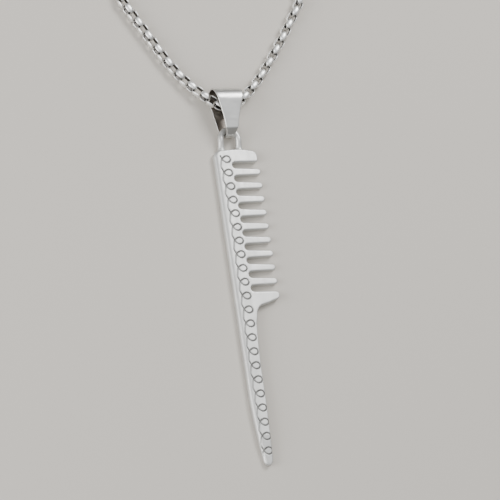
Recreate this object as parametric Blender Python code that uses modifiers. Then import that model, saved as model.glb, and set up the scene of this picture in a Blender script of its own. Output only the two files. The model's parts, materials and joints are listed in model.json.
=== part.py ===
"""Tail comb pendant hanging on a round box chain, laid flat on its back.

Frame: X points along the teeth, +Y from the comb towards the chain, Z up off the comb's flat back.
The origin lies on that back face, on the hanging axis, in the top guard. Lengths below are in millimetres.
"""

import math

import bmesh
import bpy
from mathutils import Matrix, Vector

MM = 0.001

# Comb casting
THICK = 1.7
SPINE_ROUND = 0.95
EDGE_ROUND = 0.26
SPINE_LEFT = -4.30
CROWN_Y = 1.92
TOP_RIGHT = 5.80
TEETH = 9
PITCH = 3.154
FIRST_TOOTH_Y = -3.40
GAP = 1.42
ROOT_X = -0.30
TIP_X = 6.25
TOOTH_SLOPE = 1.2
TOOTH_THIN = 0.24
TAIL_SLOPE = -63.0
TAIL_THIN = 0.30
TAIL_TIP = (-2.45, -69.5)

# Cast eye on top of the comb
EYE_WIRE = 0.70
EYE_X = -0.03
EYE_REACH = 2.08
EYE_TOP = 6.32
EYE_Z = 1.38
EYE_FOOT_Z = 0.87

# Fold-over bail
BAIL_X = -0.02
BAIL_SHEET = 0.40
BAIL_EYE_BEND = (6.44, 1.93, 1.70)
BAIL_BIG_BEND = (12.77, 2.87, 2.62)
BAIL_CREASE = (6.34, 3.74, 0.45)
BAIL_NECK = 1.06
BAIL_FOOT = 1.48
BAIL_SHOULDER = 3.33

# Round box chain
CHAIN_DIA = 2.5
LINK_PITCH = 1.85
STRIP = 0.40
STRIP_WIDE = 1.70
STRIP_BAR = 0.40
LINK_GAP = 0.07
LINK_LONG = LINK_PITCH + 2 * STRIP + LINK_GAP
BAR_AT = (LINK_LONG - STRIP) / 2
APEX = (0.13, 11.34)
APEX_Z = 2.35
RUN_LINKS = 18
FLAT_Z = CHAIN_DIA / 2

# The length out of sight: a straight lead and a flat coil for each run
COIL_START = 16.0
COIL_TURNS = 3.34
COIL_OUTER = COIL_START + CHAIN_DIA / 2 + 0.05
COIL_INNER = COIL_START - COIL_TURNS * CHAIN_DIA - CHAIN_DIA / 2 - 0.05
LEAD = 13.3
LEAD_TURN = 12.0
LEAD_TUBE = 3.2
TOUCH = 0.3

# Lobster clasp and rings that end the two runs
RING_MID = 1.5
RING_WIRE = 0.3
CLASP_LOW = 1.17
CLASP_THICK = 1.3
CLASP_SLOT = 0.62
LEVER_THICK = 0.50
PIVOT = (2.3, -0.45)
RIVET = 0.27
RUNNING = 0.03

STEEL = (0.60, 0.60, 0.58, 1.0)


# ---------------------------------------------------------------- helpers

def material(name, colour=STEEL, rough=0.38):
    mat = bpy.data.materials.new(name)
    mat.use_nodes = True
    shader = mat.node_tree.nodes["Principled BSDF"]
    shader.inputs["Base Color"].default_value = colour
    shader.inputs["Metallic"].default_value = 1.0
    shader.inputs["Roughness"].default_value = rough
    mat.diffuse_color = colour
    return mat


def collection(name):
    made = bpy.data.collections.new(name)
    bpy.context.scene.collection.children.link(made)
    return made


def add_object(name, bm, home, mat, origin=(0, 0, 0), hidden=False):
    """Store a bmesh drawn in millimetres as an object in metres with its origin where it turns."""
    bmesh.ops.recalc_face_normals(bm, faces=bm.faces)
    move = Matrix.Scale(MM, 4) @ Matrix.Translation(-Vector(origin))
    bmesh.ops.transform(bm, matrix=move, verts=bm.verts)
    mesh = bpy.data.meshes.new(name)
    bm.to_mesh(mesh)
    bm.free()
    obj = bpy.data.objects.new(name, mesh)
    obj.location = Vector(origin) * MM
    if mat:
        mesh.materials.append(mat)
    if hidden:
        obj.hide_render = True
        obj.display_type = "WIRE"
    home.objects.link(obj)
    return obj


def boolean(obj, cutter, operation="DIFFERENCE"):
    mod = obj.modifiers.new(cutter.name, "BOOLEAN")
    mod.object = cutter
    mod.operation = operation
    mod.solver = "EXACT"


def skin(rings, closed):
    """Join rings of equal point counts into one closed body."""
    bm = bmesh.new()
    loops = [[bm.verts.new(p) for p in ring] for ring in rings]
    count = len(loops[0])
    for i in range(len(loops) if closed else len(loops) - 1):
        here, after = loops[i], loops[(i + 1) % len(loops)]
        for j in range(count):
            k = (j + 1) % count
            bm.faces.new((here[j], here[k], after[k], after[j]))
    if not closed:
        bm.faces.new(loops[0][::-1])
        bm.faces.new(loops[-1])
    return bm


def flat_tube(points, radius, height, sides=10):
    """Tube along an open path in the XY plane, at the height that each point's Y gives."""
    rings = []
    for i, (x, y) in enumerate(points):
        a, b = points[max(i - 1, 0)], points[min(i + 1, len(points) - 1)]
        along = Vector((b[0] - a[0], b[1] - a[1], 0)).normalized()
        side = Vector((-along.y, along.x, 0))
        turn = [math.tau * k / sides for k in range(sides)]
        centre = Vector((x, y, height(y)))
        rings.append([centre + side * radius * math.cos(t) + Vector((0, 0, radius * math.sin(t)))
                      for t in turn])
    return skin(rings, closed=False)


def plate(outline, low, high, edge=0.0, segments=1):
    """Plate of an outline between two heights, with its rims eased."""
    bm = bmesh.new()
    base = [bm.verts.new((x, y, low)) for x, y in outline]
    face = bm.faces.new(base)
    top = bmesh.ops.extrude_face_region(bm, geom=[face])["geom"]
    raised = [v for v in top if isinstance(v, bmesh.types.BMVert)]
    bmesh.ops.translate(bm, vec=(0, 0, high - low), verts=raised)
    bmesh.ops.recalc_face_normals(bm, faces=bm.faces)
    if edge:
        rims = [e for e in bm.edges if abs(e.verts[0].co.z - e.verts[1].co.z) < 1e-6]
        bmesh.ops.bevel(bm, geom=rims, offset=edge, segments=segments, profile=0.5,
                        affect="EDGES", clamp_overlap=False)
    return bm


def cylinder(x, y, low, high, radius, sides=20):
    ring = [(x + radius * math.cos(math.tau * k / sides), y + radius * math.sin(math.tau * k / sides))
            for k in range(sides)]
    return plate(ring, low, high)


def arc(cx, cy, rx, ry, start, end, steps):
    """Points on an ellipse between two angles in degrees."""
    turn = [math.radians(start + (end - start) * k / steps) for k in range(steps + 1)]
    return [(cx + rx * math.cos(t), cy + ry * math.sin(t)) for t in turn]


def ease(t):
    t = min(max(t, 0.0), 1.0)
    return t * t * (3 - 2 * t)


# ---------------------------------------------------------------- comb

def crown(x):
    middle = (SPINE_LEFT + TOP_RIGHT) / 2
    return CROWN_Y - 0.62 * ((x - middle) / (TOP_RIGHT - middle)) ** 2


def tooth_y(i):
    return FIRST_TOOTH_Y - i * PITCH


def gap_y(i):
    return tooth_y(i) + PITCH / 2


def comb_outline():
    """Outline of the casting, clockwise from the tail's tip up the left edge."""
    left = [(-3.12, -68.0), (-3.50, -65.4), (-3.84, -62.2), (-4.14, -58.6), (SPINE_LEFT, -54.5)]
    top_left = arc(SPINE_LEFT + 1.5, crown(-2.8) - 1.4, 1.5, 1.4, 180, 98, 5)
    ridge = [(x, crown(x)) for x in (-1.6, 0.0, 1.6, 3.0)]
    top_right = arc(TOP_RIGHT - 1.6, crown(4.35) - 1.45, 1.6, 1.45, 78, 0, 5)
    low_corner = arc(TOP_RIGHT - 0.5, gap_y(0) + GAP / 2 + 0.5, 0.5, 0.5, -20, -90, 3)
    points = left + top_left + ridge + top_right + low_corner
    for i in range(TEETH + 1):
        points += arc(ROOT_X + GAP / 2, gap_y(i), GAP / 2, GAP / 2, 90, 270, 6)
        if i < TEETH:
            points += arc(TIP_X - 0.80, tooth_y(i) + 0.06, 0.80, 0.70, 86, -86, 6)
    guard_top = gap_y(TEETH) - GAP / 2
    points += arc(TIP_X - 1.05, guard_top - 0.98, 0.92, 0.92, 88, -62, 6)
    points += [(3.4, guard_top - 2.62)]
    points += arc(2.35, guard_top - 5.90, 2.15, 2.95, 108, 176, 5)
    points += [(-0.16, -38.2), (-0.46, -42.6), (-0.62, -47.0), (-0.68, -52.0), (-0.72, -57.0), (-0.86, -61.0),
               (-0.95, -65.0), (-1.00, -67.4)]
    points += arc(TAIL_TIP[0] + 0.40, -68.3, 1.02, 1.18, -8, -168, 6)
    return points


def thin_ends(mesh):
    """The teeth and the tail's tip get thinner towards their ends, by flat slopes on the front."""
    bm = bmesh.new()
    bm.from_mesh(mesh)
    for point, normal in (((TOOTH_SLOPE, 0, 0), (1, 0, 0)), ((0, TAIL_SLOPE, 0), (0, -1, 0))):
        bmesh.ops.bisect_plane(bm, geom=bm.verts[:] + bm.edges[:] + bm.faces[:], dist=1e-6,
                               plane_co=Vector(point) * MM, plane_no=normal)
    first, last = tooth_y(0) + 1.2, tooth_y(TEETH - 1) - 1.2
    for v in bm.verts:
        x, y, _ = v.co / MM
        if x > TOOTH_SLOPE and last < y < first:
            v.co.z *= 1 - TOOTH_THIN * (x - TOOTH_SLOPE) / (TIP_X - TOOTH_SLOPE)
        elif y < TAIL_SLOPE:
            v.co.z *= 1 - TAIL_THIN * (TAIL_SLOPE - y) / (TAIL_SLOPE - TAIL_TIP[1])
    bm.to_mesh(mesh)
    bm.free()


def eye_height(y):
    """The eye leaves the crown inside its thickness and rises to clear the bail."""
    return EYE_FOOT_Z + (EYE_Z - EYE_FOOT_Z) * ease((y - 2.0) / 2.3)


def build_comb(home, cutters, mat):
    bm = plate(comb_outline(), 0.0, THICK)
    weights = bm.edges.layers.float.new("bevel_weight_edge")
    for e in bm.edges:
        low, high = sorted(v.co.z for v in e.verts)
        if high - low < 1e-6:
            wall = min(e.link_faces, key=lambda f: abs(f.normal.z))
            spine = max(0.0, -wall.normal.x) * (1.0 if low > 1 else 0.5)
            e[weights] = spine + (1 - spine) * EDGE_ROUND / SPINE_ROUND
    comb = add_object("comb", bm, home, mat)
    rims = comb.modifiers.new("rims", "BEVEL")
    rims.limit_method, rims.width, rims.segments = "WEIGHT", SPINE_ROUND * MM, 3
    rims.use_clamp_overlap = False
    graph = bpy.context.evaluated_depsgraph_get()
    comb.data = bpy.data.meshes.new_from_object(comb.evaluated_get(graph))
    comb.modifiers.clear()
    thin_ends(comb.data)
    foot, low = 0.9, EYE_TOP - EYE_REACH
    path = ([(EYE_X - EYE_REACH, y) for y in (foot, 2.0, 2.8, 3.6)]
            + arc(EYE_X, low, EYE_REACH, EYE_REACH, 180, 0, 12)
            + [(EYE_X + EYE_REACH, y) for y in (3.6, 2.8, 2.0, foot)])
    eye = add_object("eye_blank", flat_tube(path, EYE_WIRE, eye_height), cutters, mat, hidden=True)
    boolean(comb, eye, "UNION")


# ---------------------------------------------------------------- bail

def belt(circles, steps):
    """Arcs of a taut belt round circles taken anticlockwise, each as a list of (y, z, normal in degrees)."""
    leave = []
    for (y0, z0, r0), (y1, z1, r1) in zip(circles, circles[1:] + circles[:1]):
        reach = math.hypot(y1 - y0, z1 - z0)
        leave.append(math.degrees(math.atan2(z1 - z0, y1 - y0) - math.acos((r0 - r1) / reach)))
    arcs = []
    for i, ((y, z, r), count) in enumerate(zip(circles, steps)):
        start, end = leave[i - 1], leave[i]
        end += 360 * math.ceil((start - end) / 360)
        points = arc(y, z, r, r, start, end, count)
        arcs.append([(u, v, (start + (end - start) * k / (len(points) - 1)) % 360)
                     for k, (u, v) in enumerate(points)])
    return arcs


def between(a, b, shares, half):
    """Points on the straight from a to b, each with its half width."""
    spots = [(a[0] * (1 - t) + b[0] * t, a[1] * (1 - t) + b[1] * t, t) for t in shares]
    return [(y, z, half(y, t)) for y, z, t in spots]


def bail_path():
    """Mid-line of the folded strip as (y, z, half width): eye bend, back, big bend, front, crease, neck."""
    low, high, crease = belt([BAIL_EYE_BEND, BAIL_BIG_BEND, BAIL_CREASE], (10, 14, 4))
    path = []
    for y, z, normal in low:
        slim = 1 - ease((normal - 232) / 30)
        path.append((y, z, back_half_width(y) + (BAIL_NECK - back_half_width(y)) * slim))
    path += between(low[-1], high[0], (0.33, 0.66), lambda y, t: back_half_width(y))
    for i, (y, z, _) in enumerate(high):
        t = ease(i / (len(high) - 1))
        path.append((y, z, back_half_width(y) * (1 - t) + front_half_width(y) * t))
    path += between(high[-1], crease[0], (0.2, 0.4, 0.6, 0.8), lambda y, t: front_half_width(y))
    path += [(y, z, BAIL_FOOT - 0.03 * i) for i, (y, z, _) in enumerate(crease)]
    path += between(crease[-1], low[0], (0.33, 0.66), lambda y, t: BAIL_FOOT - 0.12 - 0.30 * ease(t))
    return path


def front_half_width(y):
    return BAIL_FOOT + (BAIL_SHOULDER - BAIL_FOOT) * ease((y - 5.6) / 10.4)


def back_half_width(y):
    return 1.85 + (BAIL_SHOULDER - 1.85) * min(max((y - 6.3) / 8.4, 0.0), 1.0)


def build_bail(home, mat):
    path = bail_path()
    rings = []
    for i, (y, z, half) in enumerate(path):
        a, b = path[i - 1], path[(i + 1) % len(path)]
        along = Vector((0, b[0] - a[0], b[1] - a[1])).normalized()
        out = Vector((0, along.z, -along.y))
        face, rim, centre = BAIL_SHEET / 2, BAIL_SHEET / 2 - 0.08, Vector((BAIL_X, y, z))
        section = [(half - 0.12, face), (half, rim), (half, -face),
                   (-half, -face), (-half, rim), (-half + 0.12, face)]
        rings.append([centre + Vector((s, 0, 0)) + out * n for s, n in section])
    add_object("bail", skin(rings, closed=True), home, mat, origin=(APEX[0], APEX[1], APEX_Z))


# ---------------------------------------------------------------- chain

def link_rings(steps=16):
    """One link: a strip bent into a closed loop, its two plates domed to the chain's round outside.

    Local X runs along the chain and Z out through the plates.
    """
    rings = []
    for k in range(steps):
        t = math.tau * (k + 0.5) / steps
        c, s = math.cos(t), math.sin(t)
        x = (LINK_LONG - STRIP) / 2 * math.copysign(abs(c) ** 0.72, c)
        z = (CHAIN_DIA - STRIP) / 2 * math.copysign(abs(s) ** 0.72, s)
        out = Vector((math.copysign(abs(c) ** 1.2, c), 0, math.copysign(abs(s) ** 1.2, s))).normalized()
        wide = ease(abs(s) ** 1.4)
        half, face = (STRIP_BAR + (STRIP_WIDE - STRIP_BAR) * wide) / 2, STRIP / 2
        section = [(0, face), (half, face - 0.06), (0.8 * half, -face),
                   (-0.8 * half, -face), (-half, face - 0.06)]
        ring = []
        for w, n in section:
            p = Vector((x, 0, z)) + out * n
            curl = w / (CHAIN_DIA / 2) * wide
            ring.append(Vector((p.x, w * (1 - wide) + abs(p.z) * math.sin(curl) * wide,
                                p.z * (1 - wide + math.cos(curl) * wide))))
        rings.append(ring)
    return rings


def heading(k, side):
    """Angle of link k of a run from the X axis, in degrees."""
    if side < 0:
        return 31.0 + 17.0 * (1 - math.exp(-(k - 1) / 2.0)) + 12.0 * ease((k - 4) / 7.0)
    return 58.5 - 27.5 * math.exp(-(k - 1) / 4.6)


def chain_height(run):
    """The chain drops from the bail to the surface over its first links."""
    return FLAT_Z + (APEX_Z - FLAT_Z) * (1 - ease(run / 14.0))


def run_frames(side):
    """Places of a run's links: (centre, matrix, near joint), going out from the bail on side +1 or -1."""
    spot = Vector((APEX[0] + side * (LINK_PITCH - BAR_AT), APEX[1], APEX_Z))
    run, frames = LINK_PITCH - BAR_AT, []
    for k in range(1, RUN_LINKS + 1):
        upright = k % 2 == 1
        reach = 2 * BAR_AT if upright else 2 * (LINK_PITCH - BAR_AT)
        angle = math.radians(heading(k, side))
        run += reach
        drop = chain_height(run) - spot.z
        step = Vector((side * math.cos(angle) * reach, math.sin(angle) * reach, drop)).normalized() * reach
        along = step.normalized()
        across = Vector((0, 0, 1)).cross(along).normalized()
        up = along.cross(across)
        roll = (across, up) if upright else (-up, across)
        turn = Matrix((along, roll[0], roll[1])).transposed().to_4x4()
        frames.append((spot + step / 2, turn, spot.copy()))
        spot = spot + step
    return frames, spot, along


def build_chain(home, mats):
    rings = link_rings()
    root_turn = Matrix(((1, 0, 0), (0, 0, -1), (0, 1, 0))).to_4x4()
    centre = Vector((APEX[0], APEX[1], APEX_Z))
    place_link("link_00", rings, Matrix.Translation(centre) @ root_turn, centre, home, mats[0])
    for side, letter in ((-1, "l"), (1, "r")):
        frames, _, _ = run_frames(side)
        for k, (middle, turn, joint) in enumerate(frames, 1):
            place_link(f"link_{letter}{k:02d}", rings, Matrix.Translation(middle) @ turn, joint, home,
                       mats[k % 2])


def place_link(name, rings, frame, origin, home, mat):
    bm = skin([[frame @ p for p in ring] for ring in rings], closed=True)
    add_object(name, bm, home, mat, origin=origin)


# ---------------------------------------------------------------- hidden length

def coil_centre(side):
    """Start and direction of a run's lead, and the centre of its coil on the inner side of the lead."""
    _, end, along = run_frames(side)
    start = end + along * (LINK_GAP + STRIP)
    level = Vector((along.x, along.y, 0)).normalized()
    along = Matrix.Rotation(-side * math.radians(LEAD_TURN), 3, "Z") @ level
    inward = Vector((-side * along.y, side * along.x, 0))
    return start, along, start + along * LEAD + inward * COIL_START


def build_lead(side, letter, home, mat):
    """Plain tube for the straight stretch between the last link and the coil."""
    start, along, _ = coil_centre(side)
    curve = bpy.data.curves.new(f"chain_{letter}_lead", "CURVE")
    curve.dimensions = "3D"
    curve.bevel_depth = CHAIN_DIA / 2 * MM
    curve.bevel_resolution = 2
    curve.render_resolution_u = 0
    curve.use_fill_caps = True
    spline = curve.splines.new("POLY")
    route = [0.75, LEAD_TUBE / 2, LEAD_TUBE]
    spline.points.add(len(route) - 1)
    for point, at in zip(spline.points, route):
        x, y, _ = start + along * at
        point.co = (x * MM, y * MM, (FLAT_Z + 0.02) * MM, 1)
    obj = bpy.data.objects.new(curve.name, curve)
    curve.materials.append(mat)
    home.objects.link(obj)


def build_coil(side, letter, home, mat):
    """One turned ring of the coil's outer shape."""
    _, _, centre = coil_centre(side)
    outer, inner, edge = COIL_OUTER, COIL_INNER, 0.6
    section = [(inner, edge), (inner + edge, 0), (outer - edge, 0), (outer, edge), (outer, CHAIN_DIA - edge),
               (outer - edge, CHAIN_DIA), (inner + edge, CHAIN_DIA), (inner, CHAIN_DIA - edge)]
    rings = []
    for k in range(28):
        t = math.tau * k / 28
        rings.append([Vector((centre.x + r * math.cos(t), centre.y + r * math.sin(t), z))
                      for r, z in section])
    add_object(f"chain_{letter}_coil", skin(rings, closed=True), home, mat, origin=(centre.x, centre.y, 0))


# ---------------------------------------------------------------- clasp

def build_ring(name, centre, along, home, mat, sides=8, steps=20):
    """Round wire ring standing on the surface, in the plane of one direction and Z."""
    rings = []
    for k in range(steps):
        t = math.tau * k / steps
        out = along * math.cos(t) + Vector((0, 0, math.sin(t)))
        across = Vector((0, 0, 1)).cross(along)
        middle = centre + out * RING_MID
        turn = [math.tau * j / sides for j in range(sides)]
        rings.append([middle + out * RING_WIRE * math.cos(u) + across * RING_WIRE * math.sin(u)
                      for u in turn])
    add_object(name, skin(rings, closed=True), home, mat, origin=centre)


def ring_place(side):
    """The ring stands inside the coil, just clear of its inner wall, on the side away from the bail."""
    _, _, centre = coil_centre(side)
    away = COIL_INNER - TOUCH - RING_MID - RING_WIRE
    return centre + Vector((0, away, RING_MID + RING_WIRE + 0.02 - centre.z))


def clasp_outline():
    body = arc(0, 0, 1.25, 1.25, 62, 300, 10) + [(1.3, -1.25), (2.5, -1.35), (3.1, -1.05), (3.12, -0.2)]
    hook = arc(5.6, -0.1, 1.45, 1.35, 172, -52, 10) + arc(5.6, 0.0, 2.2, 2.15, -48, 112, 10)
    return body + hook + [(3.2, 1.70), (1.6, 1.25)]


def lever_outline():
    return (arc(PIVOT[0], PIVOT[1], 0.55, 0.55, 60, 180, 5)
            + [(1.85, -1.2), (2.1, -1.95), (2.8, -2.0), (3.3, -1.5)]
            + [(5.9, -1.82), (6.25, -1.62), (6.2, -1.36), (4.6, -0.95), (3.0, -0.25)])


def build_clasp(home, cutters, mat):
    ring = ring_place(-1)
    build_ring("clasp_ring", ring, Vector((0, 1, 0)), home, mat)
    tail = ring - Vector((0, RING_MID, 0))
    middle = CLASP_LOW + CLASP_THICK / 2

    def place(points):
        """Clasp drawings run along X from the tail's hole; on the part they run along -Y."""
        return [(tail.x + y, tail.y - x) for x, y in points]

    (px, py), = place([PIVOT])
    solid = plate(place(clasp_outline()), CLASP_LOW, CLASP_LOW + CLASP_THICK, 0.18, 1)
    body = add_object("clasp_body", solid, home, mat, origin=(tail.x, tail.y, middle))
    slot = place([(1.5, 0.3), (1.5, -3.0), (3.5, -3.0), (3.5, 0.3)])
    half = CLASP_SLOT / 2
    slot_cut = add_object("slot_cut", plate(slot, middle - half, middle + half), cutters, None, hidden=True)
    boolean(body, slot_cut)
    boolean(body, add_object("tail_cut", cylinder(tail.x, tail.y, -1, 4, 0.66), cutters, None, hidden=True))
    bore = add_object("rivet_cut", cylinder(px, py, -1, 4, RIVET + RUNNING, 16), cutters, None, hidden=True)
    boolean(body, bore)
    solid = plate(place(lever_outline()), middle - LEVER_THICK / 2, middle + LEVER_THICK / 2)
    lever = add_object("clasp_lever", solid, home, mat, origin=(px, py, middle))
    boolean(lever, bore)
    add_object("clasp_rivet", cylinder(px, py, CLASP_LOW + 0.02, CLASP_LOW + CLASP_THICK - 0.02, RIVET, 16),
               home, mat, origin=(px, py, middle))


def main():
    for obj in list(bpy.data.objects):
        bpy.data.objects.remove(obj, do_unlink=True)
    home, cutters = collection("comb_pendant"), collection("cutters")
    satin, bright = material("satin_steel"), material("bright_steel", (0.66, 0.66, 0.65, 1), 0.25)
    build_comb(home, cutters, satin)
    build_bail(home, satin)
    build_chain(home, (bright, bright))
    for side, letter in ((-1, "l"), (1, "r")):
        build_lead(side, letter, home, bright)
        build_coil(side, letter, home, bright)
    build_clasp(home, cutters, bright)
    build_ring("end_ring", ring_place(1), Vector((0, 1, 0)), home, bright)


main()
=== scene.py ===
"""Looks of the tail comb pendant: satin cast steel with a darkened scroll, folded bail, round box chain.

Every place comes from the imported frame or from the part's own chain and comb dimensions, in millimetres.
"""

import json
import math

import bmesh
import bpy
import numpy as np
from mathutils import Matrix, Vector

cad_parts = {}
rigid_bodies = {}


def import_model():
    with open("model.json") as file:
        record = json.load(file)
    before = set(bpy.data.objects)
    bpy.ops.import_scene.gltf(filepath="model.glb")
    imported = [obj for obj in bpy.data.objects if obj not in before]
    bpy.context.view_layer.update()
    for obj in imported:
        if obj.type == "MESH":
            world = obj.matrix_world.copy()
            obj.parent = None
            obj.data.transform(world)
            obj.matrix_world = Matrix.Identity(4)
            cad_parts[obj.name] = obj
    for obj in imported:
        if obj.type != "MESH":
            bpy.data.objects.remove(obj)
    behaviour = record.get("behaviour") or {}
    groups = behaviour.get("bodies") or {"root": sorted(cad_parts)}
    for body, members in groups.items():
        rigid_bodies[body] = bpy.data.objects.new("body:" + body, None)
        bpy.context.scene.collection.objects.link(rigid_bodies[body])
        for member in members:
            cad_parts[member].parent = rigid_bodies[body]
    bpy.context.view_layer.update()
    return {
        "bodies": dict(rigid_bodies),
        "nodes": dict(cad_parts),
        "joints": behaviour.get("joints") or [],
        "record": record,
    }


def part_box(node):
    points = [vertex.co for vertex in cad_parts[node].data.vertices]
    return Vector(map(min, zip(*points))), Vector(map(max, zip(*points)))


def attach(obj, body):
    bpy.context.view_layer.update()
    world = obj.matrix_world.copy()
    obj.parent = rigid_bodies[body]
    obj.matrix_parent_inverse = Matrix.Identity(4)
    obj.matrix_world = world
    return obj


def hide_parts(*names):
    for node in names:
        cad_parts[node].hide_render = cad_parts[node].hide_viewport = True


MM = 0.001

# Camera: how the view leans, and where it looks, from the comb's frame
VIEW_RIGHT = Vector((0.9322, -0.1439, 0.3321))
VIEW_UP = Vector((0.0303, 0.9454, 0.3246))
VIEW_BACK = Vector((-0.3607, -0.2925, 0.8856))
VIEW_AT = Vector((1.43, -20.96, 0.0))
VIEW_AWAY = 650.5
LENS = 215.4

# Lights as (name, place, size, watts), all aimed at one spot, and how far the floor lies under the part
LIGHT_AIM = (0, -20, 0)
LIGHTS = (("key", (240, 260, 420), 260, 2.3), ("fill", (-300, -160, 480), 420, 0.8),
          ("side", (-480, -60, 210), 340, 2.2))
FLOOR_DROP = 0.02
STROKE_DEEP = 0.04

# Chain, as in the part
CHAIN_DIA = 2.5
LINK_PITCH = 1.85
STRIP = 0.40
STRIP_WIDE = 1.70
STRIP_BAR = 0.40
BAR_PLAY = 0.07
LINK_LONG = LINK_PITCH + 2 * STRIP + BAR_PLAY
BAR_AT = (LINK_LONG - STRIP) / 2
RUN_LINKS = 18
COIL_START = 16.0
COIL_TURNS = 3.34
FLAT_Z = CHAIN_DIA / 2
HIDDEN_START = 0.2
CLASP = ("clasp_ring", "clasp_body", "clasp_lever", "clasp_rivet")

# Steps round a link and sides of its strip, for the links that are seen and for the hidden ones
FINE_LINK = (44, 14)
PLAIN_LINK = (20, 8)

# Comb casting and its hanging eye, as in the part
THICK = 1.7
SPINE_ROUND = 0.95
EDGE_ROUND = 0.26
SPINE_LEFT = -4.30
CROWN_Y = 1.92
CROWN_DROP = 0.62
TOP_RIGHT = 5.80
TEETH = 9
TOOTH_PITCH = 3.154
FIRST_TOOTH_Y = -3.40
GAP = 1.42
ROOT_X = -0.30
TIP_X = 6.25
TOOTH_SLOPE = 1.2
TOOTH_THIN = 0.24
TAIL_SLOPE = -63.0
TAIL_THIN = 0.30
TAIL_TIP = (-2.45, -69.5)
EYE_X = -0.03
EYE_REACH = 2.08
EYE_WIRE = 0.70
EYE_TOP = 6.32
EYE_Z = 1.38
EYE_FOOT_Z = 0.87
EYE_SIDES = 28
MERGE = 0.004
VOXEL = 0.11

# Bail, as in the part
BAIL_X = -0.02
BAIL_SHEET = 0.40
BAIL_EYE_BEND = (6.44, 1.93, 1.70)
BAIL_BIG_BEND = (12.77, 2.87, 2.62)
BAIL_CREASE = (6.34, 3.74, 0.45)
BAIL_NECK = 1.06
BAIL_FOOT = 1.48
BAIL_BACK_FOOT = 1.85
BAIL_SHOULDER = 3.33

# Scroll engraved along the spine: loop centres from the top down
LOOPS = 22
LOOP_TOP = -0.47
LOOP_PITCH = 3.139
LOOP_X = -1.50
LOOP_SWAY = 0.22
LOOP_DRIFT = -0.28
LOOP_KNOTS = ((-1.50, 1.18, 0.7), (-1.33, 0.76, 1.0), (-1.10, 0.26, 1.0), (-0.72, -0.40, 0.8),
              (-0.06, -0.74, 1.0), (0.60, -0.50, 1.0), (0.85, 0.04, 1.0), (0.60, 0.56, 1.0),
              (0.0, 0.77, 1.0), (-0.62, 0.55, 1.0), (-1.12, 0.10, 0.8), (-1.33, -0.45, 0.45),
              (-1.46, -1.05, 0.5), (-1.56, -1.60, 0.5))
GROOVE_HALF = 0.20
GROOVE_DEEP = 0.13
GROOVE_FADE = 0.05


# ---------------------------------------------------------------- camera, light, floor

def add_camera():
    data = bpy.data.cameras.new("view")
    data.lens, data.sensor_width, data.sensor_fit = LENS, 36.0, "HORIZONTAL"
    data.clip_start, data.clip_end = 0.01, 20.0
    camera = bpy.data.objects.new("view", data)
    turn = Matrix((VIEW_RIGHT, VIEW_UP, VIEW_BACK)).transposed()
    turn = turn.to_quaternion().to_matrix().to_4x4()
    camera.matrix_world = Matrix.Translation((VIEW_AT + VIEW_BACK * VIEW_AWAY) * MM) @ turn
    bpy.context.scene.collection.objects.link(camera)
    bpy.context.scene.camera = camera


def area_light(name, place, size, watts):
    data = bpy.data.lights.new(name, "AREA")
    data.shape, data.size, data.energy = "DISK", size * MM, watts
    lamp = bpy.data.objects.new(name, data)
    lamp.location = Vector(place) * MM
    aim = (Vector(LIGHT_AIM) - Vector(place)).normalized()
    lamp.rotation_euler = aim.to_track_quat("-Z", "Y").to_euler()
    bpy.context.scene.collection.objects.link(lamp)


def add_world():
    """Soft room, bright above and dark at the horizon, for the polished steel to mirror."""
    world = bpy.data.worlds.new("room")
    bpy.context.scene.world = world
    world.use_nodes = True
    nodes, links = world.node_tree.nodes, world.node_tree.links
    coords = nodes.new("ShaderNodeTexCoord")
    split = nodes.new("ShaderNodeSeparateXYZ")
    ramp = nodes.new("ShaderNodeValToRGB")
    links.new(coords.outputs["Generated"], split.inputs[0])
    links.new(split.outputs["Z"], ramp.inputs[0])
    links.new(ramp.outputs[0], nodes["Background"].inputs[0])
    stops = ramp.color_ramp.elements
    stops[0].position, stops[0].color = 0.0, (0.10, 0.095, 0.09, 1)
    stops[1].position, stops[1].color = 0.9, (0.85, 0.86, 0.88, 1)
    middle = stops.new(0.45)
    middle.color = (0.38, 0.38, 0.38, 1)
    nodes["Background"].inputs[1].default_value = 0.8


def add_floor():
    bpy.ops.mesh.primitive_plane_add(size=6.0, location=(0, 0, -FLOOR_DROP * MM))
    floor = bpy.context.object
    floor.name = "floor"
    mat = bpy.data.materials.new("floor")
    mat.use_nodes = True
    shader = mat.node_tree.nodes["Principled BSDF"]
    shader.inputs["Base Color"].default_value = (0.60, 0.565, 0.51, 1)
    shader.inputs["Roughness"].default_value = 0.85
    floor.data.materials.append(mat)


# ---------------------------------------------------------------- materials

def node(tree, kind, **values):
    made = tree.nodes.new(kind)
    for key, value in values.items():
        if key in made.inputs:
            made.inputs[key].default_value = value
        else:
            setattr(made, key, value)
    return made


def brushed(tree, scale, detail=6.0):
    """Noise stretched into short strokes, in the object's own coordinates."""
    coords = node(tree, "ShaderNodeTexCoord")
    stretch = node(tree, "ShaderNodeMapping")
    stretch.inputs["Scale"].default_value = scale
    noise = node(tree, "ShaderNodeTexNoise", Scale=1.0, Detail=detail, Roughness=0.6)
    tree.links.new(coords.outputs["Object"], stretch.inputs[0])
    tree.links.new(stretch.outputs[0], noise.inputs["Vector"])
    return noise


def spread(tree, source, low, high, start=0.3, end=0.7):
    """Map a noise to a range of values."""
    made = node(tree, "ShaderNodeMapRange")
    for key, value in (("From Min", start), ("From Max", end), ("To Min", low), ("To Max", high)):
        made.inputs[key].default_value = value
    tree.links.new(source, made.inputs["Value"])
    return made.outputs[0]


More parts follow.
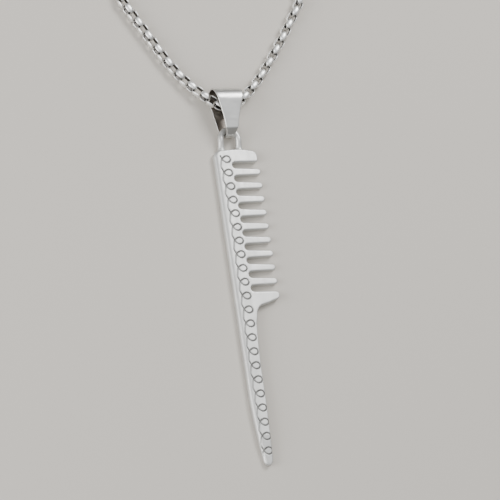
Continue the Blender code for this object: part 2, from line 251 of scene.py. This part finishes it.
def steel(name, light, dark, rough, strokes, bump, stroke_scale):
    """Brushed metal, with the nodes that its variants build on."""
    mat = bpy.data.materials.new(name)
    mat.use_nodes = True
    tree = mat.node_tree
    shader = tree.nodes["Principled BSDF"]
    shader.inputs["Metallic"].default_value = 1.0
    fine = brushed(tree, stroke_scale)
    cloud = brushed(tree, (260, 260, 260), 4.0)
    mix = node(tree, "ShaderNodeMixRGB")
    mix.inputs[1].default_value, mix.inputs[2].default_value = (*dark, 1), (*light, 1)
    tree.links.new(spread(tree, cloud.outputs["Fac"], 0.25, 1.0), mix.inputs[0])
    tree.links.new(mix.outputs[0], shader.inputs["Base Color"])
    roughness = spread(tree, fine.outputs["Fac"], rough - strokes, rough + strokes)
    tree.links.new(roughness, shader.inputs["Roughness"])
    relief = node(tree, "ShaderNodeBump", Strength=bump, Distance=STROKE_DEEP * MM)
    tree.links.new(fine.outputs["Fac"], relief.inputs["Height"])
    tree.links.new(relief.outputs[0], shader.inputs["Normal"])
    return mat, tree, shader, mix


def strip_steel(name, light, dark, rough, strokes, bump, stroke_scale, shade):
    """Polished strip whose inner face, marked on the mesh, is painted duller and darker, as painted shade."""
    mat, tree, shader, mix = steel(name, light, dark, rough, strokes, bump, stroke_scale)
    inside = node(tree, "ShaderNodeAttribute", attribute_name="inside")
    # painted shade: the marked inner face is mixed towards the dark shade colour
    painted_inner_shade = node(tree, "ShaderNodeMixRGB")
    painted_inner_shade.inputs[2].default_value = (*shade, 1)
    tree.links.new(inside.outputs["Fac"], painted_inner_shade.inputs[0])
    tree.links.new(mix.outputs[0], painted_inner_shade.inputs[1])
    tree.links.new(painted_inner_shade.outputs[0], shader.inputs["Base Color"])
    return mat


def comb_steel():
    """Satin casting with the scroll's oxidised groove from the mesh's own groove attribute."""
    mat, tree, shader, mix = steel("comb_steel", (0.66, 0.66, 0.64), (0.58, 0.58, 0.565),
                                    0.46, 0.07, 0.25, (900, 260, 900))
    groove = node(tree, "ShaderNodeAttribute", attribute_name="groove")
    dirt = brushed(tree, (1500, 1500, 1500), 3.0)
    uneven = node(tree, "ShaderNodeMath", operation="MULTIPLY")
    tree.links.new(groove.outputs["Fac"], uneven.inputs[0])
    tree.links.new(spread(tree, dirt.outputs["Fac"], 0.78, 1.0), uneven.inputs[1])
    dark = node(tree, "ShaderNodeMixRGB")
    dark.inputs[2].default_value = (0.060, 0.058, 0.052, 1)
    tree.links.new(uneven.outputs[0], dark.inputs[0])
    tree.links.new(mix.outputs[0], dark.inputs[1])
    tree.links.new(dark.outputs[0], shader.inputs["Base Color"])
    metal = spread(tree, uneven.outputs[0], 0.72, 0.15, 0.0, 1.0)
    tree.links.new(metal, shader.inputs["Metallic"])
    return mat


# ---------------------------------------------------------------- helpers

def new_piece(name, bm, mat):
    mesh = bpy.data.meshes.new(name)
    bm.to_mesh(mesh)
    bm.free()
    obj = bpy.data.objects.new(name, mesh)
    mesh.materials.append(mat)
    mesh.polygons.foreach_set("use_smooth", [True] * len(mesh.polygons))
    bpy.context.scene.collection.objects.link(obj)
    return obj


def ease(t):
    t = np.clip(t, 0.0, 1.0)
    return t * t * (3 - 2 * t)


def apply_modifiers(obj):
    graph = bpy.context.evaluated_depsgraph_get()
    made = bpy.data.meshes.new_from_object(obj.evaluated_get(graph))
    obj.modifiers.clear()
    old = obj.data
    obj.data = made
    bpy.data.meshes.remove(old)


def mark(obj, name, values):
    """One value for each point of a mesh, for its material to read."""
    layer = obj.data.attributes.new(name, "FLOAT", "POINT")
    layer.data.foreach_set("value", np.array(values, np.float32))


def coordinates(mesh):
    co = np.empty(len(mesh.vertices) * 3, np.float32)
    mesh.vertices.foreach_get("co", co)
    return co.reshape(-1, 3).astype(float)


# ---------------------------------------------------------------- chain

def link_rings(steps, sides):
    """One link: a strip bent into a closed loop, its plates domed to the chain's round outside."""
    rings = []
    for k in range(steps):
        t = math.tau * (k + 0.5) / steps
        c, s = math.cos(t), math.sin(t)
        x = BAR_AT * math.copysign(abs(c) ** 0.72, c)
        z = (CHAIN_DIA - STRIP) / 2 * math.copysign(abs(s) ** 0.72, s)
        out = Vector((math.copysign(abs(c) ** 1.2, c), 0, math.copysign(abs(s) ** 1.2, s))).normalized()
        wide = float(ease(abs(s) ** 1.4))
        half, face = (STRIP_BAR + (STRIP_WIDE - STRIP_BAR) * wide) / 2, STRIP / 2
        ring = []
        for j in range(sides):
            u = math.tau * (j + 0.5) / sides
            w = half * math.copysign(abs(math.cos(u)) ** 0.45, math.cos(u))
            n = face * math.copysign(abs(math.sin(u)) ** 0.6, math.sin(u))
            if n < 0:
                w *= 0.86
            p = Vector((x, 0, z)) + out * n
            curl = w / (CHAIN_DIA / 2) * wide
            ring.append(Vector((p.x, w * (1 - wide) + abs(p.z) * math.sin(curl) * wide,
                                p.z * (1 - wide + math.cos(curl) * wide))))
        rings.append(ring)
    return rings


def link_marks(steps, sides):
    """For each point of link_rings, 1 on the strip's inner face and 0 on its outer face: the mask for the
    painted shade inside the link.
    """
    ring = [min(max(0.35 - math.sin(math.tau * (j + 0.5) / sides) * 1.4, 0.0), 1.0) for j in range(sides)]
    return ring * steps


def skin(bm, loops):
    """Faces from each ring of points to the next, and from the last to the first."""
    count = len(loops[0])
    for i, here in enumerate(loops):
        after = loops[(i + 1) % len(loops)]
        for j in range(count):
            k = (j + 1) % count
            bm.faces.new((here[j], here[k], after[k], after[j]))


def add_link(bm, rings, frame):
    loops = [[bm.verts.new((frame @ p) * MM) for p in ring] for ring in rings]
    skin(bm, loops)


def link_frame(middle, along, upright):
    along = along.normalized()
    across = Vector((0, 0, 1)).cross(along).normalized()
    up = along.cross(across)
    roll = (across, up) if upright else (-up, across)
    return Matrix.Translation(middle) @ Matrix((along, roll[0], roll[1])).transposed().to_4x4()


def joint_places(frame):
    return {j["name"]: Vector(j["pos_m"]) / MM for j in frame["joints"]}


def run_ends(frame, letter):
    """Joint places along a run, ending with the far bar of its last link."""
    places = joint_places(frame)
    spots = [places[f"bend_{letter}{k:02d}"] for k in range(1, RUN_LINKS + 1)]
    low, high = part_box(f"link_{letter}{RUN_LINKS:02d}")
    middle = (low + high) / 2 / MM
    return spots + [middle + (middle - spots[-1])]


def shown_link(label, body, place, rings, marks, mat):
    bm = bmesh.new()
    add_link(bm, rings, place)
    bmesh.ops.recalc_face_normals(bm, faces=bm.faces)
    link = new_piece(f"shown_link_{label}", bm, mat)
    # the inner faces are marked for the painted shade
    mark(link, "inside", marks)
    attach(link, body)
    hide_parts(f"link_{label}")


def build_links(frame, mat):
    rings, marks = link_rings(*FINE_LINK), link_marks(*FINE_LINK)
    places = joint_places(frame)
    root = (places["bend_l01"] + places["bend_r01"]) / 2
    shown_link("00", "chain_middle", link_frame(root, Vector((1, 0, 0)), False), rings, marks, mat)
    for letter in "lr":
        ends = run_ends(frame, letter)
        for k in range(1, RUN_LINKS + 1):
            near, far = ends[k - 1], ends[k]
            place = link_frame((near + far) / 2, far - near, k % 2 == 1)
            shown_link(f"{letter}{k:02d}", f"run_{letter}{k:02d}", place, rings, marks, mat)


def hidden_route(frame, letter):
    """The part's own route: straight on from the last link, then round the flat coil towards its middle."""
    side = -1 if letter == "l" else 1
    ends = run_ends(frame, letter)
    low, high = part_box(f"chain_{letter}_coil")
    centre = (low + high) / 2 / MM
    start = Vector((ends[-1].x, ends[-1].y, FLAT_Z))
    gap = Vector((centre.x - start.x, centre.y - start.y, 0))
    lean = side * math.asin(COIL_START / gap.length)
    along = (Matrix.Rotation(lean, 3, "Z") @ gap).normalized()
    inward = Vector((-side * along.y, side * along.x, 0))
    tangent = centre - inward * COIL_START
    tangent.z = FLAT_Z
    points = [start + (tangent - start) * t for t in np.linspace(0, 1, 8)[:-1]]
    first = math.atan2(-inward.y, -inward.x)
    steps = 150
    for k in range(steps + 1):
        share = k / steps
        angle = first + side * math.tau * COIL_TURNS * share
        radius = COIL_START - CHAIN_DIA * COIL_TURNS * share
        x, y = centre.x + radius * math.cos(angle), centre.y + radius * math.sin(angle)
        points.append(Vector((x, y, FLAT_Z)))
    return points


def along_route(points, spacing, start):
    """Places and directions at equal steps along a route."""
    lengths = [0.0]
    for a, b in zip(points, points[1:]):
        lengths.append(lengths[-1] + (b - a).length)
    total, at, places = lengths[-1], start, []
    while at <= total:
        i = max(j for j in range(len(lengths) - 1) if lengths[j] <= at)
        a, b = points[i], points[i + 1]
        share = (at - lengths[i]) / (b - a).length
        places.append((a.lerp(b, share), b - a))
        at += spacing
    return places, total


def build_hidden_run(frame, letter, mat):
    route = hidden_route(frame, letter)
    start = LINK_PITCH / 2 - (LINK_LONG - LINK_PITCH) / 2 + HIDDEN_START
    places, total = along_route(route, LINK_PITCH, start)
    plain = link_rings(*PLAIN_LINK)
    bm = bmesh.new()
    for k, (middle, along) in enumerate(places):
        add_link(bm, plain, link_frame(middle, along, k % 2 == 0))
    bmesh.ops.recalc_face_normals(bm, faces=bm.faces)
    run = new_piece(f"chain_{letter}_hidden", bm, mat)
    # the inner faces are marked for the painted shade
    mark(run, "inside", link_marks(*PLAIN_LINK) * len(places))
    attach(run, f"run_{letter}{RUN_LINKS:02d}")
    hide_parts(f"chain_{letter}_lead", f"chain_{letter}_coil")


# ---------------------------------------------------------------- comb

def scroll_points():
    """The scroll as one line that curls over itself once for each loop, and how deep each point is cut."""
    knots, depths = [], []
    for k in range(LOOPS):
        sway = LOOP_SWAY * math.exp(-((k - 4.5) / 2.8) ** 2)
        x = LOOP_X + sway + LOOP_DRIFT * float(ease((k - 10.0) / 4.0))
        for dx, dy, depth in LOOP_KNOTS:
            knots.append((x + dx, LOOP_TOP - LOOP_PITCH * k + dy))
            depths.append(depth)
    knots, depths = np.array(knots), np.array(depths)
    points, cuts = [], []
    for i in range(1, len(knots) - 2):
        a, b, c, d = knots[i - 1:i + 3]
        for t in np.arange(5) / 5:
            points.append(0.5 * (2 * b + (c - a) * t + (2 * a - 5 * b + 4 * c - d) * t ** 2
                                 + (3 * b - a - 3 * c + d) * t ** 3))
            cuts.append(depths[i] * (1 - t) + depths[i + 1] * t)
    return np.array(points), np.array(cuts)


def scroll_cut(points, reach, full):
    """How strongly the scroll marks each point: 1 on its line, falling to 0 at the given reach."""
    curve, cuts = scroll_points()
    best = np.zeros(len(points))
    for start in range(0, len(curve) - 1, 24):
        a, b = curve[start:start + 24], curve[start + 1:start + 25]
        a = a[:len(b)]
        d = b - a
        low, high = np.minimum(a, b).min(0) - reach, np.maximum(a, b).max(0) + reach
        near = np.nonzero(((points > low) & (points < high)).all(1))[0]
        if not len(near):
            continue
        p = points[near, None, :]
        t = np.clip(((p - a) * d).sum(2) / (d ** 2).sum(1), 0, 1)
        gap = np.linalg.norm(p - (a + t[..., None] * d), axis=2)
        found = (ease(1 - (gap - full) / (reach - full)) * cuts[start:start + len(a)]).max(1)
        best[near] = np.maximum(best[near], found)
    return best


def arc(cx, cy, rx, ry, start, end, steps):
    """Points on an ellipse between two angles in degrees."""
    turn = np.radians(np.linspace(start, end, 3 * steps + 1))
    return [(cx + rx * math.cos(t), cy + ry * math.sin(t)) for t in turn]


def crown(x):
    """Height of the domed top edge."""
    middle = (SPINE_LEFT + TOP_RIGHT) / 2
    return CROWN_Y - CROWN_DROP * ((x - middle) / (TOP_RIGHT - middle)) ** 2


def tooth_y(i):
    return FIRST_TOOTH_Y - TOOTH_PITCH * i


def gap_y(i):
    return tooth_y(i) + TOOTH_PITCH / 2


def comb_outline():
    """Outline of the casting, clockwise from the tail's tip up the left edge."""
    left = [(-3.12, -68.0), (-3.50, -65.4), (-3.84, -62.2), (-4.14, -58.6), (SPINE_LEFT, -54.5)]
    top_left = arc(SPINE_LEFT + 1.5, crown(-2.8) - 1.4, 1.5, 1.4, 180, 98, 5)
    ridge = [(x, crown(x)) for x in (-1.6, 0.0, 1.6, 3.0)]
    top_right = arc(TOP_RIGHT - 1.6, crown(4.35) - 1.45, 1.6, 1.45, 78, 0, 5)
    low_corner = arc(TOP_RIGHT - 0.5, gap_y(0) + GAP / 2 + 0.5, 0.5, 0.5, -20, -90, 3)
    points = left + top_left + ridge + top_right + low_corner
    for i in range(TEETH + 1):
        points += arc(ROOT_X + GAP / 2, gap_y(i), GAP / 2, GAP / 2, 90, 270, 6)
        if i < TEETH:
            points += arc(TIP_X - 0.80, tooth_y(i) + 0.06, 0.80, 0.70, 86, -86, 6)
    guard_top = gap_y(TEETH) - GAP / 2
    points += arc(TIP_X - 1.05, guard_top - 0.98, 0.92, 0.92, 88, -62, 6)
    points += [(3.4, guard_top - 2.62)]
    points += arc(2.35, guard_top - 5.90, 2.15, 2.95, 108, 176, 5)
    points += [(-0.16, -38.2), (-0.46, -42.6), (-0.62, -47.0), (-0.68, -52.0), (-0.72, -57.0), (-0.86, -61.0),
               (-0.95, -65.0), (-1.00, -67.4)]
    points += arc(TAIL_TIP[0] + 0.40, -68.3, 1.02, 1.18, -8, -168, 6)
    return points


def comb_plate(mat):
    """The casting without its eye: outline, thickness and the wide rounding along the spine."""
    bm = bmesh.new()
    face = bm.faces.new([bm.verts.new((x, y, 0)) for x, y in comb_outline()])
    grown = bmesh.ops.extrude_face_region(bm, geom=[face])["geom"]
    raised = [v for v in grown if isinstance(v, bmesh.types.BMVert)]
    bmesh.ops.translate(bm, vec=(0, 0, THICK), verts=raised)
    bmesh.ops.recalc_face_normals(bm, faces=bm.faces)
    weights = bm.edges.layers.float.new("bevel_weight_edge")
    for e in bm.edges:
        low, high = sorted(v.co.z for v in e.verts)
        if high - low < 1e-6:
            wall = min(e.link_faces, key=lambda f: abs(f.normal.z))
            spine = max(0.0, -wall.normal.x) * (1.0 if low > 1 else 0.5)
            e[weights] = spine + (1 - spine) * EDGE_ROUND / SPINE_ROUND
    bmesh.ops.scale(bm, vec=(MM, MM, MM), verts=bm.verts)
    comb = new_piece("comb_casting", bm, mat)
    rims = comb.modifiers.new("rims", "BEVEL")
    rims.limit_method, rims.width, rims.segments = "WEIGHT", SPINE_ROUND * MM, 5
    rims.use_clamp_overlap = False
    apply_modifiers(comb)
    bm = bmesh.new()
    bm.from_mesh(comb.data)
    # points that almost coincide make the big faces fill the gaps between the teeth
    bmesh.ops.remove_doubles(bm, verts=bm.verts, dist=MERGE * MM)
    bmesh.ops.triangulate(bm, faces=bm.faces, ngon_method="EAR_CLIP")
    bm.to_mesh(comb.data)
    bm.free()
    return comb


def add_eye(comb):
    """Round wire arch, run into the casting so that the remesh joins the two."""
    low = EYE_TOP - EYE_REACH
    path = ([(EYE_X - EYE_REACH, y) for y in (0.9, 1.6, 2.3, 3.0, 3.7)]
            + arc(EYE_X, low, EYE_REACH, EYE_REACH, 180, 0, 10)
            + [(EYE_X + EYE_REACH, y) for y in (3.7, 3.0, 2.3, 1.6, 0.9)])
    bm = bmesh.new()
    bm.from_mesh(comb.data)
    loops = []
    for i, (x, y) in enumerate(path):
        a, b = path[max(i - 1, 0)], path[min(i + 1, len(path) - 1)]
        side = Vector((a[1] - b[1], b[0] - a[0], 0)).normalized()
        flare = 1 + 0.30 * float(ease((2.75 - y) / 0.9))
        height = EYE_FOOT_Z + (EYE_Z - EYE_FOOT_Z) * float(ease((y - 2.0) / 2.3))
        ring = []
        for k in range(EYE_SIDES):
            t = math.tau * k / EYE_SIDES
            ring.append(bm.verts.new((Vector((x, y, height)) + side * EYE_WIRE * flare * math.cos(t)
                                      + Vector((0, 0, EYE_WIRE * math.sin(t)))) * MM))
        loops.append(ring)
    for here, after in zip(loops, loops[1:]):
        for j in range(EYE_SIDES):
            k = (j + 1) % EYE_SIDES
            bm.faces.new((here[j], here[k], after[k], after[j]))
    bm.faces.new(loops[0][::-1])
    bm.faces.new(loops[-1])
    bmesh.ops.recalc_face_normals(bm, faces=bm.faces)
    bm.to_mesh(comb.data)
    bm.free()


def build_comb(mat):
    comb = comb_plate(mat)
    add_eye(comb)
    remesh = comb.modifiers.new("remesh", "REMESH")
    remesh.mode, remesh.voxel_size = "VOXEL", VOXEL * MM
    smooth = comb.modifiers.new("smooth", "SMOOTH")
    smooth.factor, smooth.iterations = 0.5, 4
    apply_modifiers(comb)
    thin_ends(comb)
    refine_scroll(comb)
    cut_scroll(comb)
    comb.data.materials.clear()
    comb.data.materials.append(mat)
    comb.data.polygons.foreach_set("use_smooth", [True] * len(comb.data.polygons))
    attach(comb, "comb")
    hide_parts("comb")


def thin_ends(comb):
    """The teeth and the tail's tip get thinner towards their ends, on the front only."""
    co = coordinates(comb.data) / MM
    x, y = co[:, 0], co[:, 1]
    teeth = (y < tooth_y(0) + 1.2) & (y > tooth_y(TEETH - 1) - 1.2)
    thin = TOOTH_THIN * np.clip((x - TOOTH_SLOPE) / (TIP_X - TOOTH_SLOPE), 0, 1) * teeth
    thin = np.maximum(thin, TAIL_THIN * np.clip((TAIL_SLOPE - y) / (TAIL_SLOPE - TAIL_TIP[1]), 0, 1))
    co[:, 2] *= 1 - thin
    comb.data.vertices.foreach_set("co", (co * MM).astype(np.float32).ravel())


def refine_scroll(comb):
    """Finer faces where the scroll is cut."""
    bm = bmesh.new()
    bm.from_mesh(comb.data)
    bm.faces.ensure_lookup_table()
    centres = np.array([f.calc_center_median() for f in bm.faces]) / MM
    up = np.array([f.normal.z for f in bm.faces])
    near = scroll_cut(centres[:, :2], GROOVE_HALF + 0.16, 0.0) > 0.0
    chosen = [bm.faces[i] for i in np.nonzero(near & (up > 0.4) & (centres[:, 2] > 0.9))[0]]
    edges = list({e for f in chosen for e in f.edges})
    bmesh.ops.subdivide_edges(bm, edges=edges, cuts=2, use_grid_fill=True)
    bmesh.ops.triangulate(bm, faces=[f for f in bm.faces if len(f.verts) > 4])
    bm.to_mesh(comb.data)
    bm.free()


def cut_scroll(comb):
    """Press the groove into the front face and mark it for the darkened metal."""
    mesh = comb.data
    co = coordinates(mesh) / MM
    normals = np.empty(len(mesh.vertices) * 3, np.float32)
    mesh.vertices.foreach_get("normal", normals)
    front = ease((normals.reshape(-1, 3)[:, 2] - 0.25) / 0.4) * (co[:, 2] > 0.8)
    co[:, 2] -= GROOVE_DEEP * scroll_cut(co[:, :2], GROOVE_HALF + GROOVE_FADE, 0.04) * front
    mesh.vertices.foreach_set("co", (co * MM).astype(np.float32).ravel())
    mark(comb, "groove", scroll_cut(co[:, :2], GROOVE_HALF + GROOVE_FADE, 0.07) * front)
    mesh.update()


# ---------------------------------------------------------------- bail

def front_half_width(y):
    return BAIL_FOOT + (BAIL_SHOULDER - BAIL_FOOT) * float(ease((y - 5.6) / 10.4))


def back_half_width(y):
    return BAIL_BACK_FOOT + (BAIL_SHOULDER - BAIL_BACK_FOOT) * min(max((y - 6.3) / 8.4, 0.0), 1.0)


def belt(circles, steps):
    """Arcs of a taut belt round circles taken anticlockwise, each as a list of (y, z, normal in degrees)."""
    leave = []
    for (y0, z0, r0), (y1, z1, r1) in zip(circles, circles[1:] + circles[:1]):
        reach = math.hypot(y1 - y0, z1 - z0)
        leave.append(math.degrees(math.atan2(z1 - z0, y1 - y0) - math.acos((r0 - r1) / reach)))
    arcs = []
    for i, ((y, z, r), count) in enumerate(zip(circles, steps)):
        start, end = leave[i - 1], leave[i]
        end += 360 * math.ceil((start - end) / 360)
        points = arc(y, z, r, r, start, end, count)
        arcs.append([(u, v, (start + (end - start) * k / (len(points) - 1)) % 360)
                     for k, (u, v) in enumerate(points)])
    return arcs


def between(a, b, shares, half):
    """Points on the straight from a to b, each with its half width."""
    spots = [(a[0] * (1 - t) + b[0] * t, a[1] * (1 - t) + b[1] * t, t) for t in shares]
    return [(y, z, half(y, t)) for y, z, t in spots]


def bail_path():
    """Mid-line of the folded strip as (y, z, half width): eye bend, back, big bend, front, crease, neck."""
    low, high, crease = belt([BAIL_EYE_BEND, BAIL_BIG_BEND, BAIL_CREASE], (10, 14, 4))
    path = []
    for y, z, normal in low:
        slim = 1 - float(ease((normal - 232) / 30))
        path.append((y, z, back_half_width(y) + (BAIL_NECK - back_half_width(y)) * slim))
    path += between(low[-1], high[0], np.linspace(0.05, 0.95, 18), lambda y, t: back_half_width(y))
    for i, (y, z, _) in enumerate(high):
        t = float(ease(i / (len(high) - 1)))
        path.append((y, z, back_half_width(y) * (1 - t) + front_half_width(y) * t))
    path += between(high[-1], crease[0], np.linspace(0.05, 0.95, 18), lambda y, t: front_half_width(y))
    path += [(y, z, BAIL_FOOT - 0.01 * i) for i, (y, z, _) in enumerate(crease)]
    path += between(crease[-1], low[0], np.linspace(0.1, 0.9, 8),
                    lambda y, t: BAIL_FOOT - 0.12 - 0.30 * float(ease(t)))
    return path


def strip_section(half, pillow):
    """Strip's section as (across, out) points: rounded edges and a slightly full outer face, with a flag of 1
    on the inner face for the painted shade.
    """
    r, t = 0.15, BAIL_SHEET / 2
    points = [(s * (half - r), t + pillow * (1 - s * s)) for s in np.linspace(-1, 1, 13)]
    points += [(half - r + r * math.sin(a), t - r + r * math.cos(a)) for a in np.radians((22, 45, 68, 90))]
    points += [(half - r * 0.5 + r * 0.5 * math.cos(a), -t + r * 0.5 - r * 0.5 * math.sin(a))
               for a in np.radians((0, 45, 90))]
    inner = len(points)
    points += [(s * (half - r), -t) for s in np.linspace(1, -1, 9)]
    points += [(-(half - r * 0.5) - r * 0.5 * math.sin(a), -t + r * 0.5 - r * 0.5 * math.cos(a))
               for a in np.radians((0, 45, 90))]
    outer = len(points)
    points += [(-(half - r) - r * math.cos(a), t - r + r * math.sin(a)) for a in np.radians((0, 22, 45, 68))]
    return points, [1.0 if inner <= i < outer - 2 else 0.0 for i in range(len(points))]


def build_bail(mat):
    """The folded strip, smooth round both bends, with its inside marked for the painted shade there."""
    path = bail_path()
    bm, loops, marks = bmesh.new(), [], []
    for i, (y, z, half) in enumerate(path):
        a, b = path[i - 1], path[(i + 1) % len(path)]
        along = Vector((0, b[0] - a[0], b[1] - a[1])).normalized()
        out = Vector((0, along.z, -along.y))
        points, inside = strip_section(half, 0.05 * float(ease((z - 1.5) / 1.5)))
        loops.append([bm.verts.new((Vector((BAIL_X + s, y, z)) + out * n) * MM) for s, n in points])
        marks += inside
    skin(bm, loops)
    bmesh.ops.recalc_face_normals(bm, faces=bm.faces)
    bail = new_piece("bail_strip", bm, mat)
    # the inner face is marked for the painted shade
    mark(bail, "inside", marks)
    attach(bail, "bail")
    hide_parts("bail")


# ---------------------------------------------------------------- all of it

def main():
    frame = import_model()
    add_camera()
    add_world()
    add_floor()
    for light in LIGHTS:
        area_light(*light)
    # The last colour of each strip steel is painted shade for the inner faces: dark between the chain's
    # links, brownish inside the bail.
    chain_steel = strip_steel("chain_steel", (0.97, 0.97, 0.95), (0.90, 0.90, 0.88), 0.42, 0.05, 0.10,
                              (900, 900, 900), (0.09, 0.085, 0.08))
    bail_steel = strip_steel("bail_steel", (0.76, 0.76, 0.74), (0.68, 0.68, 0.66), 0.34, 0.06, 0.20,
                             (260, 1100, 1100), (0.30, 0.27, 0.24))
    clasp = [frame["nodes"][name] for name in CLASP]
    end_ring = frame["nodes"]["end_ring"]
    build_hidden_run(frame, "l", chain_steel)
    build_hidden_run(frame, "r", chain_steel)
    build_links(frame, chain_steel)
    build_comb(comb_steel())
    build_bail(bail_steel)
    for piece in clasp + [end_ring]:
        piece.data.materials.clear()
        piece.data.materials.append(chain_steel)
    bpy.context.view_layer.update()


main()
